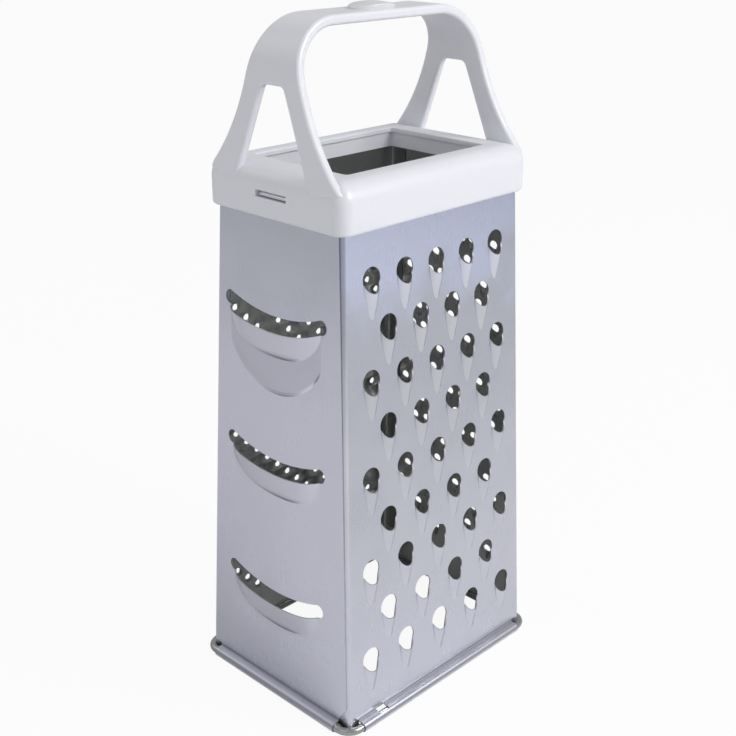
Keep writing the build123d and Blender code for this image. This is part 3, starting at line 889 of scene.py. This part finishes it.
class GRATER_OT_foot_wire(bpy.types.Operator):
    """Closed wire ring in the hem."""

    bl_idname = "grater.foot_wire"
    bl_label = "Foot wire"

    def execute(self, context):
        body = context.scene.grater_body
        radius = body.wire / 2
        half_x, half_y = body.base_length / 2 + body.hem_reach, body.base_width / 2 + body.hem_reach
        along_x = np.array([-0.0352, -0.0350, -0.0295, -0.0293, 0.0, 0.0295, 0.0350])
        along_y = np.linspace(-0.03, 0.03, 7)
        angle = np.linspace(0, 2 * math.pi, 25)
        rings = [
            plan_ring(half_x + out, half_y + out, body.wire_corner + out, along_x, along_y, 12)
            for out in radius * np.cos(angle)
        ]
        height = radius + body.wire_gap + body.sheet - body.hem_flat
        rows = stacked_rings(rings, height + radius * np.sin(angle))
        shine = np.zeros(rows.shape[1])
        shine[2:4] = GLARE_TONE  # the second and third of along_x, under the drain slot
        quilt = Quilt()
        quilt.add(rows, burnish=shine)
        show(quilt.mesh("foot_wire"), wire_finish(), "base_wire")
        return {"FINISHED"}


def window_heights(sizes):
    """Heights of the snap windows' lower and upper edges."""
    return sizes.window_centre + np.array([-0.5, 0.5]) * sizes.window_height


def collar_section(sizes):
    """Section of the collar, once round: rows of (half sizes in plan, plan radius, height)."""
    channel, web, lip, step, inner, depth, ceiling = 0.0019, 0.0024, 0.00165, 0.0006, 0.0018, 0.007, 0.1882
    soft, least_radius = 0.0005, 0.0012
    skirt, low, top = sizes.skirt, sizes.low, sizes.top
    window_low, window_high = window_heights(sizes)
    mouth = np.array([sizes.length - sizes.mouth_length, sizes.width - sizes.mouth_width]) / 2

    def quarter(steps):
        angle = np.linspace(0, math.pi / 2, steps)
        return zip(1 - np.sin(angle), 1 - np.cos(angle))

    rows = [(sizes.foot_edge * s, low + sizes.foot_edge * c) for s, c in quarter(5)]
    rows += [(0, window_low), (0, window_high)]
    rows += [(sizes.edge * c, top - sizes.edge * s) for s, c in quarter(11)]
    rows += [(mouth - soft * s, top - soft * c) for s, c in quarter(5)]
    rows += [(mouth, top - lip), (mouth - step, top - lip), (mouth - step, top - depth)]
    rows += [(mouth - step - inner, top - depth), (mouth - step - inner, top - web)]
    rows += [(skirt + channel, top - web), (skirt + channel, ceiling), (skirt, ceiling)]
    rows += [(skirt, window_high), (skirt, window_low), (skirt, low), rows[0]]
    insets = np.array([np.broadcast_to(inset, 2) for inset, _ in rows])
    halves = np.array([sizes.length, sizes.width]) / 2 - insets
    radii = np.maximum(sizes.corner - insets.min(axis=1), least_radius)
    return halves, radii, [z for _, z in rows]


def collar_mesh(sizes):
    """The collar: its section carried round the plan, with a window through each end's skirt."""
    half = sizes.window / 2
    across = np.linspace(-half, half, 5)
    x_stations, y_stations = np.linspace(-0.028, 0.028, 9), np.concatenate([[-0.0145], across, [0.0145]])
    halves, radii, heights = collar_section(sizes)
    rings = [plan_ring(*pair, radius, x_stations, y_stations, 10) for pair, radius in zip(halves, radii)]

    low, high = window_heights(sizes)
    keep = outside((sizes.length / 2 - 1.5 * sizes.skirt, -half, low), (sizes.length, half, high))
    quilt = Quilt()
    quilt.add(stacked_rings(rings, heights), lambda centres: keep(centres) & keep(centres * MIRROR))
    loop_y = np.concatenate([across, [half], across[::-1][1:], [-half]])
    loop_z = np.concatenate([np.full(5, low), [high], np.full(4, high), [low]])
    for side in (-1, 1):
        x = side * (sizes.length / 2 - sizes.skirt * np.array([[0], [1]]))
        quilt.add(join(x, loop_y, loop_z)[::-side])
    return quilt.mesh("collar")


def arch_x(sizes, y, z):
    """Outer X of the handle: a leaning leg that keeps inside the collar's corners, then a round shoulder."""
    foot, spring = 0.184, sizes.handle_top - sizes.shoulder
    leg = sizes.length / 2 - sizes.lean * np.clip((z - foot) / (spring - foot), None, 1)
    past = np.clip(np.abs(y) - sizes.width / 2 + sizes.corner, 0, sizes.corner)
    leg = np.minimum(leg, sizes.length / 2 - sizes.corner + np.sqrt(sizes.corner**2 - past**2))
    rise = np.clip((z - spring) / sizes.shoulder, 0, 1)
    return leg - sizes.shoulder * (1 - np.sqrt(1 - rise**2))


def grip_taper(sizes):
    """How much a leg's half width grows on its way down from the grip to the neck."""
    return (sizes.neck_half - sizes.grip_half) / (sizes.handle_top - sizes.neck_height)


def bell_outline(sizes, steps):
    """Points (y, z) of a leg's right edge from its foot to the neck.

    One arc that leaves the neck along the grip's taper and bends outwards to the foot.
    """
    foot = np.array([sizes.foot_half, 0.1885])
    neck = np.array([sizes.neck_half, sizes.neck_height])
    normal = np.array([1.0, grip_taper(sizes)]) / math.hypot(grip_taper(sizes), 1)
    chord = foot - neck
    radius = chord @ chord / (2 * (chord @ normal))
    centre = neck + normal * radius
    begin, end = (math.atan2(*(centre - tip)[::-1]) for tip in (foot, neck))
    angle = np.linspace(begin, end, steps + 1)
    return centre - radius * join(np.cos(angle), np.sin(angle))


def opening_outline(steps, crown_steps):
    """The leg's opening from its left foot over the top to its right foot (y, z)."""
    top, foot, half_top, half_foot, radius = 0.218, 0.1862, 0.005, 0.01745, 0.0026
    begin, corner = np.array([half_foot, foot]), np.array([half_top, top])
    along = (corner - begin) / np.linalg.norm(corner - begin)
    bend = math.pi - math.acos(along[0])
    cut = radius * math.tan(bend / 2)
    centre = np.array([half_top - cut, top - radius])
    angle = math.pi / 2 - bend + np.linspace(0, bend, crown_steps // 2 + 1)
    crown = centre + radius * join(np.cos(angle), np.sin(angle))
    climb = begin + (corner - along * cut - begin) * np.linspace(0, 1, steps + 1)[:, None]
    right = np.concatenate([climb, crown[1:]])
    return np.concatenate([right * MIRROR[:2], right[::-1]])


def handle_mesh(sizes):
    """Outer skin of the handle: two open legs and the strap between them, bent along the arch."""
    climb, crown = 22, 10
    inner = opening_outline(climb, crown)
    right = bell_outline(sizes, climb)
    neck = len(inner) - 2 * (climb + 1)
    over = join(np.linspace(-1, 1, neck + 2)[1:-1] * sizes.neck_half, sizes.neck_height)
    outer = np.concatenate([right * MIRROR[:2], over, right[::-1]])
    y, z = np.moveaxis(blend(inner, outer, np.linspace(0, 1, 5)), -1, 0)
    leg = join(arch_x(sizes, y, z), y, z)
    quilt = Quilt()
    quilt.add(leg[:, ::-1])
    quilt.add(leg * MIRROR)

    spring = sizes.handle_top - sizes.shoulder
    angle = np.linspace(math.asin((sizes.neck_height - spring) / sizes.shoulder), math.pi / 2, 17)
    x = sizes.length / 2 - sizes.lean - sizes.shoulder + sizes.shoulder * np.cos(angle)
    z = spring + sizes.shoulder * np.sin(angle)
    flat = np.linspace(x[-1], -x[-1], 9)[1:-1]
    x = np.concatenate([x, flat, -x[::-1]])[:, None]
    z = np.concatenate([z, np.full_like(flat, z[-1]), z[::-1]])[:, None]
    width = sizes.neck_half - grip_taper(sizes) * (z - sizes.neck_height)
    quilt.add(join(x, width * np.linspace(-1, 1, neck + 2), z))
    return quilt.mesh("handle")


def cap_mesh(sizes):
    """The cap: a low rim with a rounded edge under a crown that is part of a ball."""
    rim, sunk, edge_drop = 0.0005, 0.001, 0.0004
    crown = sizes.cap_top - sizes.handle_top - rim
    ball = (sizes.cap_half**2 + crown**2) / (2 * crown)
    angle = np.linspace(0, 2 * math.pi, 65)
    turn = np.linspace(0, 1.5, 4)
    parts = [[0.0, 0.93, 0.93, 1.0], 1 - 0.03 * (1 - np.cos(turn)), 0.97 * np.linspace(1, 0, 10)]
    scale = np.concatenate(parts)[:, None]
    x, y = scale * sizes.cap_half * np.cos(angle), scale * sizes.cap_width * np.sin(angle)
    z = sizes.cap_top - ball + np.sqrt(ball**2 - x**2 - y**2)
    z[:2], z[2:4] = sizes.handle_top - sunk, sizes.handle_top
    z[4:8] -= edge_drop * (1 - np.sin(turn))[:, None]
    quilt = Quilt()
    quilt.add(join(x, y, z))
    return quilt.mesh("cap")


class GRATER_OT_mouldings(bpy.types.Operator):
    """White mouldings: collar with its snap windows, open-legged handle and oval cap."""

    bl_idname = "grater.mouldings"
    bl_label = "Mouldings"

    def execute(self, context):
        sizes = context.scene.grater_moulding
        show(collar_mesh(sizes), plastic("moulding"), "handle_collar")
        handle = show(handle_mesh(sizes), plastic("moulding"), "handle_collar")
        thicken(handle, sizes.wall)
        bevel = handle.modifiers.new("soft edge", "BEVEL")
        bevel.width = sizes.soft_edge
        bevel.segments = 3
        bevel.limit_method = "ANGLE"
        bevel.angle_limit = math.radians(50)
        show(cap_mesh(sizes), plastic("cap"), "handle_cap")
        return {"FINISHED"}


# Finishes


def feed(tree, node, inputs):
    """Links a node's inputs where sockets are given for them, and sets them where values are."""
    for key, value in inputs.items():
        if isinstance(value, bpy.types.NodeSocket):
            tree.links.new(value, node.inputs[key])
        else:
            node.inputs[key].default_value = value


def add_node(tree, kind, inputs=None, **settings):
    """Adds a shader node with its settings and inputs."""
    node = tree.nodes.new("ShaderNode" + kind)
    for key, value in settings.items():
        setattr(node, key, value)
    feed(tree, node, inputs or {})
    return node


def mottle_group():
    """Shader group: soft uneven patches and fine scratches on a colour, a roughness and a height.

    The colour changes at three heights, which paints reflections that change with height on the steel. The face
    attribute of painted light tints and lightens it for a painted highlight above 0, and darkens it for painted
    shade below 0.
    """
    found = bpy.data.node_groups.get("mottle")
    if found:
        return found
    group = bpy.data.node_groups.new("mottle", "ShaderNodeTree")
    for name in ("Colour", "Middle colour", "Top colour", "Painted highlight colour"):
        group.interface.new_socket(name, in_out="INPUT", socket_type="NodeSocketColor")
    defaults = {
        "Low": 0.0, "Middle": 0.115, "High": 0.18, "Tone": 0.05, "Roughness": 0.4,
        "Spread": 0.05, "Patch": 40.0, "Grain": 900.0, "Painted light": 0.26, "Stretch": 1.0,
    }
    for name, default in defaults.items():
        socket = group.interface.new_socket(name, in_out="INPUT", socket_type="NodeSocketFloat")
        socket.default_value = default
    for name, kind in (("Colour", "Color"), ("Roughness", "Float"), ("Height", "Float")):
        group.interface.new_socket(name, in_out="OUTPUT", socket_type="NodeSocket" + kind)
    into = group.nodes.new("NodeGroupInput").outputs

    # Weights of the grain in the colour and the relief, how far the patches shift the colours' heights, and how
    # much of the painted light shows as the painted highlight tint and as gloss.
    grain_tone, grain_relief, shift, highlight_tint_share, gloss = 0.35, 0.2, 0.06, 0.5, -0.3

    def calc(operation, first, second):
        return add_node(group, "Math", {0: first, 1: second}, operation=operation).outputs[0]

    def mix(share, first, second):
        return add_node(group, "Mix", {"Factor": share, 6: first, 7: second}, data_type="RGBA").outputs[2]

    place = add_node(group, "TexCoord").outputs["Object"]
    patch = add_node(group, "TexNoise", {"Vector": place, "Scale": into["Patch"]})
    stretch = add_node(group, "CombineXYZ", {"X": 1.0, "Y": 1.0, "Z": into["Stretch"]})
    drawn = add_node(group, "VectorMath", {0: place, 1: stretch.outputs[0]}, operation="MULTIPLY")
    grain = add_node(group, "TexNoise", {"Vector": drawn.outputs[0], "Scale": into["Grain"], "Detail": 4.0})
    soft = calc("SUBTRACT", patch.outputs["Fac"], 0.5)
    fine = calc("SUBTRACT", grain.outputs["Fac"], 0.5)
    both = calc("ADD", soft, calc("MULTIPLY", fine, grain_tone))
    painted_amount = add_node(group, "Attribute", attribute_name="burnish").outputs["Fac"]
    burnish = calc("MULTIPLY", painted_amount, into["Painted light"])
    shade = calc("ADD", calc("MULTIPLY", both, into["Tone"]), calc("ADD", burnish, 1.0))
    height = add_node(group, "SeparateXYZ", {0: place}).outputs["Z"]
    level = calc("ADD", height, calc("MULTIPLY", soft, shift))
    tint = into["Colour"]
    for low, high, name in (("Low", "Middle", "Middle colour"), ("Middle", "High", "Top colour")):
        span = {"Value": level, "From Min": into[low], "From Max": into[high]}
        share = add_node(group, "MapRange", span, interpolation_type="SMOOTHSTEP").outputs["Result"]
        tint = mix(share, tint, into[name])
    tint = mix(calc("MULTIPLY", painted_amount, highlight_tint_share), tint, into["Painted highlight colour"])
    shaded = add_node(group, "VectorMath", {0: tint, "Scale": shade}, operation="SCALE").outputs[0]
    rough = calc("ADD", calc("MULTIPLY", both, into["Spread"]), into["Roughness"])
    rough = calc("ADD", rough, calc("MULTIPLY", burnish, gloss))
    relief = calc("ADD", soft, calc("MULTIPLY", fine, grain_relief))
    feed(group, group.nodes.new("NodeGroupOutput"), {"Colour": shaded, "Roughness": rough, "Height": relief})
    return group


def new_material(name):
    """A material, its node tree and its shader."""
    material = bpy.data.materials.new(name)
    material.use_nodes = True
    return material, material.node_tree, material.node_tree.nodes["Principled BSDF"]


def finish(name, colours, body, bump, distance, **levels):
    """A material whose colour, gloss and relief follow the mottle group.

    colours are those at the foot, in the middle and at the top, which on the steel paint reflections that change
    with height; body goes to the shader's inputs and levels go to the group's.
    """
    name = "grater_" + name
    found = bpy.data.materials.get(name)
    if found:
        return found
    material, tree, shader = new_material(name)
    inputs = {key.capitalize(): value for key, value in levels.items()}
    painted_highlight = bpy.context.scene.grater_finishes.painted_highlight
    for key, value in zip(("Colour", "Middle colour", "Top colour", "Painted highlight colour"), (*colours, painted_highlight)):
        inputs[key] = (*value, 1.0)
    mottle = add_node(tree, "Group", inputs, node_tree=mottle_group())
    relief = add_node(tree, "Bump", {"Strength": bump, "Distance": distance, "Height": mottle.outputs["Height"]})
    colour_and_gloss = {"Base Color": mottle.outputs["Colour"], "Roughness": mottle.outputs["Roughness"]}
    feed(tree, shader, {**body, **colour_and_gloss, "Normal": relief.outputs["Normal"]})
    return material


def steel(which):
    """Satin stamped sheet: of the wide or narrow walls, their inside, their cut edges or upright sides."""
    found = bpy.context.scene.grater_finishes
    base = getattr(found, "steel_" + which)
    colours = [getattr(found, f"steel_{which}{part}", base) for part in ("", "_middle", "_top")]
    levels = dict(roughness=STEEL_ROUGHNESS[which], tone=0.05, spread=0.05, patch=45.0, grain=900.0, stretch=0.04)
    # Heights where the wide walls' painted reflections change colour.
    if which == "wide":
        levels.update(low=0.02, middle=0.14, high=0.168)
    return finish("steel_" + which, colours, METAL, 0.008, 0.0002, **levels)


def wire_finish():
    """Drawn wire, darker and duller than the walls."""
    levels = dict(roughness=0.26, tone=0.12, spread=0.06, patch=160.0, grain=1200.0)
    return finish("wire", 3 * [bpy.context.scene.grater_finishes.wire], METAL, 0.02, 0.0001, **levels)


def plastic(which):
    """Moulded plastic with a faint orange-peel skin."""
    levels = dict(roughness=0.32, tone=0.02, spread=0.05, patch=60.0, grain=1800.0)
    colours = 3 * [getattr(bpy.context.scene.grater_finishes, which)]
    return finish("plastic_" + which, colours, PLASTIC, 0.08, 0.0001, **levels)


# Stage


def placed(right, up, back, place):
    """World matrix of an object with these three axes."""
    matrix = np.eye(4)
    matrix[:3] = np.column_stack([right, up, back, place])
    return Matrix(matrix.tolist())


def add_camera(stage):
    """Camera at the photograph's angle."""
    azimuth, elevation, roll = (math.radians(v) for v in (stage.azimuth, stage.elevation, stage.roll))
    flat = math.cos(elevation)
    back = np.array([math.sin(azimuth) * flat, -math.cos(azimuth) * flat, math.sin(elevation)])
    right = np.array([math.cos(azimuth), math.sin(azimuth), 0.0])
    up = np.cross(back, right)
    data = bpy.data.cameras.new("camera")
    data.lens, data.sensor_width = stage.lens, 36.0
    data.clip_start, data.clip_end = 0.01, 50.0
    camera = add_object("camera", data)
    camera.matrix_world = placed(
        right * math.cos(roll) + up * math.sin(roll),
        up * math.cos(roll) - right * math.sin(roll),
        back,
        (stage.camera_x, stage.camera_y, stage.camera_z),
    )
    bpy.context.scene.camera = camera


def add_lamp(name, place, power, side):
    """Square soft lamp that faces the middle of the object."""
    data = bpy.data.lights.new(name, "AREA")
    data.energy, data.size = power, side
    aim = np.array([0, 0, 0.12]) - np.array(place)
    aim /= np.linalg.norm(aim)
    right = np.cross(aim, [0, 0, 1.0])
    right /= np.linalg.norm(right)
    add_object(name, data).matrix_world = placed(right, np.cross(right, aim), -aim, place)


def show_camera(tree, output, usual, seen, share):
    """Lets camera rays see another shader, by this share, than the rest of the light does."""
    camera_ray = add_node(tree, "LightPath").outputs["Is Camera Ray"]
    factor = add_node(tree, "Math", {0: camera_ray, 1: share}, operation="MULTIPLY").outputs[0]
    mix = add_node(tree, "MixShader", {0: factor, 1: usual.outputs[0], 2: seen.outputs[0]})
    feed(tree, tree.nodes[output], {"Surface": mix.outputs[0]})


class GRATER_OT_stage(bpy.types.Operator):
    """Camera, pale floor, white surroundings and soft lamps."""

    bl_idname = "grater.stage"
    bl_label = "Stage"

    def execute(self, context):
        scene, stage = context.scene, context.scene.grater_stage
        add_camera(stage)
        edge = np.linspace(-0.5, 0.5, 3) * stage.floor_size
        quilt = Quilt()
        quilt.add(join(edge, edge[:, None], 0.0))
        floor = add_object("floor", quilt.mesh("floor"))
        paint, tree, shader = new_material("floor")
        feed(tree, shader, {"Base Color": (*stage.floor, 1.0), "Roughness": 0.9})
        show_camera(tree, "Material Output", shader, add_node(tree, "Emission"), FLOOR_GLOW)
        floor.data.materials.append(paint)

        scene.world = bpy.data.worlds.new("surroundings")
        scene.world.use_nodes = True
        tree = scene.world.node_tree
        soft, white = tree.nodes["Background"], {"Color": (1.0, 1.0, 1.0, 1.0)}
        feed(tree, soft, {**white, "Strength": stage.surroundings})
        show_camera(tree, "World Output", soft, add_node(tree, "Background", white), 1.0)

        for name, (place, share, side) in LAMPS.items():
            add_lamp(name, place, stage.lamp * share, side)
        scene.view_settings.view_transform = "Standard"
        return {"FINISHED"}


OPERATORS = (
    GRATER_OT_stage,
    GRATER_OT_wide_walls,
    GRATER_OT_narrow_walls,
    GRATER_OT_foot_wire,
    GRATER_OT_mouldings,
)
GROUPS = {
    "grater_body": BodySizes,
    "grater_teeth": ToothSizes,
    "grater_moulding": MouldingSizes,
    "grater_finishes": Finishes,
    "grater_stage": StageSettings,
}


class GRATER_PT_panel(bpy.types.Panel):
    """Lists the grater's pieces in the 3D view's sidebar."""

    bl_idname = "GRATER_PT_panel"
    bl_label = "Box grater"
    bl_space_type = "VIEW_3D"
    bl_region_type = "UI"
    bl_category = "Grater"

    def draw(self, context):
        for operator in OPERATORS:
            self.layout.operator(operator.bl_idname)
        for name, group in GROUPS.items():
            box = self.layout.box()
            for key in group.__annotations__:
                box.prop(getattr(context.scene, name), key)


CLASSES = (*GROUPS.values(), *OPERATORS, GRATER_PT_panel)


def register():
    for entry in CLASSES:
        bpy.utils.register_class(entry)
    for name, group in GROUPS.items():
        setattr(bpy.types.Scene, name, PointerProperty(type=group))


def unregister():
    for name in GROUPS:
        delattr(bpy.types.Scene, name)
    for entry in reversed(CLASSES):
        bpy.utils.unregister_class(entry)


def main():
    register()
    for operator in OPERATORS:
        family, name = operator.bl_idname.split(".")
        getattr(getattr(bpy.ops, family), name)()


if __name__ == "__main__":
    main()
